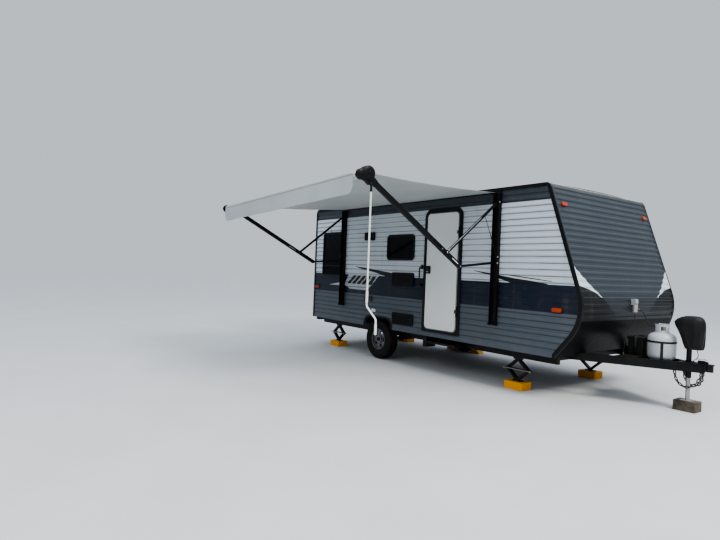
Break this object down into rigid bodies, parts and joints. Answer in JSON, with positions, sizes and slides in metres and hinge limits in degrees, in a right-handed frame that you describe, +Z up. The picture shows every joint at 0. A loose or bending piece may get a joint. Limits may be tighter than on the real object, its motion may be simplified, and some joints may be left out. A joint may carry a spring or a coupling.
{
  "type": "travel caravan",
  "caption": "Single-axle travel caravan with a raked nose, ribbed banded siding, side entry door, folding arm awning, gas bottle, tongue jack and stabilizers.",
  "frame": {"origin": "centre of the ball socket in the coupler", "axes": "+X forward along the tongue, +Y to the road side, +Z up; the entry door and the awning are on the -Y side"},
  "size_m": [6.895, 4.729, 3.0187],
  "materials": {
    "siding": "ribbed sheet siding, white above blue and grey bands",
    "front_siding": "ribbed charcoal sheet with a lighter V",
    "skirt_black": "smooth black",
    "roof_skin": "pale roof membrane",
    "floor_deck": "decking",
    "frame_black": "black chassis paint, lightly worn",
    "zinc": "bright zinc",
    "chrome": "polished",
    "jack_foot_steel": "zinc",
    "timber": "weathered cut timber",
    "cover_cloth": "black coated cloth",
    "bottle_white": "white enamel",
    "strap_black": "webbing",
    "box_plastic": "grained",
    "tyre_rubber": "tread rubber",
    "rim_silver": "painted cast",
    "block_orange": "moulded",
    "frame_dark": "satin black",
    "door_white": "off-white",
    "hatch_grey": "grey",
    "handle_black": "satin",
    "glass_dark": "dark tinted",
    "vent_black": "satin",
    "fitting_white": "satin",
    "amber": "amber lens",
    "red": "red lens",
    "roof_plastic": "moulded",
    "regulator_grey": "cast, painted grey",
    "arm_black": "powder coat",
    "roller_white": "extruded tube",
    "awning_cloth": "coated cloth, pale",
    "crank_white": "white enamel",
    "hose_black": "hose",
    "cable_grey": "cable sheath"
  },
  "bodies": {
    "trailer": {"side_wall_right": "siding", "side_wall_left": "siding", "front_wall": "front_siding", "front_skirt": "skirt_black", "rear_wall": "siding", "roof": "roof_skin", "floor": "floor_deck", "frame_rails": "frame_black", "cross_members": "frame_black", "rear_bumper": "frame_black", "tongue_rails": "frame_black", "coupler": "frame_black", "jack_tube": "chrome", "wood_block": "timber", "jack_cover": "cover_cloth", "gas_bottle": "bottle_white", "tongue_plates": "frame_black", "bottle_strap": "strap_black", "battery_box": "box_plastic", "axle_beam": "frame_black", "leaf_springs": "frame_black", "stabilizers": "zinc", "levelling_blocks": "block_orange", "step_housing": "frame_black", "door_frames": "frame_dark", "grab_handle": "handle_black", "window_frames": "frame_dark", "window_glass": "glass_dark", "wall_vents": "vent_black", "wall_fittings": "fitting_white", "amber_lights": "amber", "red_lights": "red", "body_trims": "frame_dark", "roof_units": "roof_plastic", "gas_regulator": "regulator_grey", "awning_channels": "arm_black", "awning_fabric": "awning_cloth", "gas_hose": "hose_black", "gas_line": "hose_black", "jack_cable": "cable_grey", "safety_chains": "zinc"},
    "wheel_right": {"tyre_right": "tyre_rubber", "rim_right": "rim_silver"},
    "wheel_left": {"tyre_left": "tyre_rubber", "rim_left": "rim_silver"},
    "door": {"entry_door": "door_white"},
    "hatch": {"baggage_door": "hatch_grey"},
    "jack_foot": {"jack_leg": "jack_foot_steel"},
    "step": {"entry_step": "frame_black"},
    "rafters": {"awning_rafters": "arm_black"},
    "arms": {"awning_arms": "arm_black", "awning_roller": "roller_white", "awning_gearbox": "vent_black", "awning_valance": "awning_cloth"},
    "links": {"awning_links": "arm_black"},
    "struts": {"strut_tubes": "arm_black"},
    "rods": {"strut_rods": "chrome"},
    "crank": {"crank_handle": "crank_white"}
  },
  "joints": [
    {"name": "wheel_right_spin", "type": "hinge", "parent": "trailer", "child": "wheel_right", "pos_m": [-4.65, -1.05, -0.1685], "axis": [0, 1, 0], "continuous": true},
    {"name": "wheel_left_spin", "type": "hinge", "parent": "trailer", "child": "wheel_left", "pos_m": [-4.65, 1.05, -0.1685], "axis": [0, 1, 0], "continuous": true},
    {"name": "entry_door_hinge", "type": "hinge", "parent": "trailer", "child": "door", "pos_m": [-2.828, -1.18, 1.022], "axis": [0, 0, 1], "range_deg": [0, 120]},
    {"name": "baggage_door_hinge", "type": "hinge", "parent": "trailer", "child": "hatch", "pos_m": [-1.8, 1.18, 0.514], "axis": [1, 0, 0], "range_deg": [0, 100]},
    {"name": "jack_slide", "type": "slide", "parent": "trailer", "child": "jack_foot", "axis": [0, 0, 1], "range_m": [0, 0.25]},
    {"name": "step_slide", "type": "slide", "parent": "trailer", "child": "step", "axis": [0, -1, 0], "range_m": [0, 0.16]},
    {"name": "awning_fold", "type": "hinge", "parent": "trailer", "child": "rafters", "pos_m": [-3.88, -1.205, 1.97], "axis": [1, 0, 0], "range_deg": [0, 50.5], "deforming": ["awning_fabric", "awning_valance"]},
    {"name": "awning_arms_turn", "type": "hinge", "parent": "rafters", "child": "arms", "pos_m": [-3.88, -2.12, 1.255], "axis": [1, 0, 0], "range_deg": [-108.9, 0]},
    {"name": "awning_links_turn", "type": "hinge", "parent": "trailer", "child": "links", "pos_m": [-3.88, -1.205, 1.16], "axis": [1, 0, 0], "range_deg": [0, 83.6]},
    {"name": "awning_strut_turn", "type": "hinge", "parent": "trailer", "child": "struts", "pos_m": [-3.88, -1.205, 1.241], "axis": [1, 0, 0], "range_deg": [-25.7, 0]},
    {"name": "awning_strut_slide", "type": "slide", "parent": "struts", "child": "rods", "axis": [0, -0.4508, 0.8926], "range_m": [-0.192, 0]},
    {"name": "crank_swing", "type": "hinge", "parent": "arms", "child": "crank", "pos_m": [-2.1, -3.37, 1.93], "axis": [1, 0, 0], "range_deg": [0, 58.4]}
  ],
  "couplings": [
    {"joint": "awning_arms_turn", "follows": "awning_fold", "ratio": -2.1525},
    {"joint": "awning_links_turn", "follows": "awning_fold", "ratio": 1.6505},
    {"joint": "awning_strut_turn", "follows": "awning_fold", "ratio": -0.505},
    {"joint": "awning_strut_slide", "follows": "awning_fold", "m_per_rad": -0.2173},
    {"joint": "crank_swing", "follows": "awning_fold", "ratio": 1.1525}
  ]
}
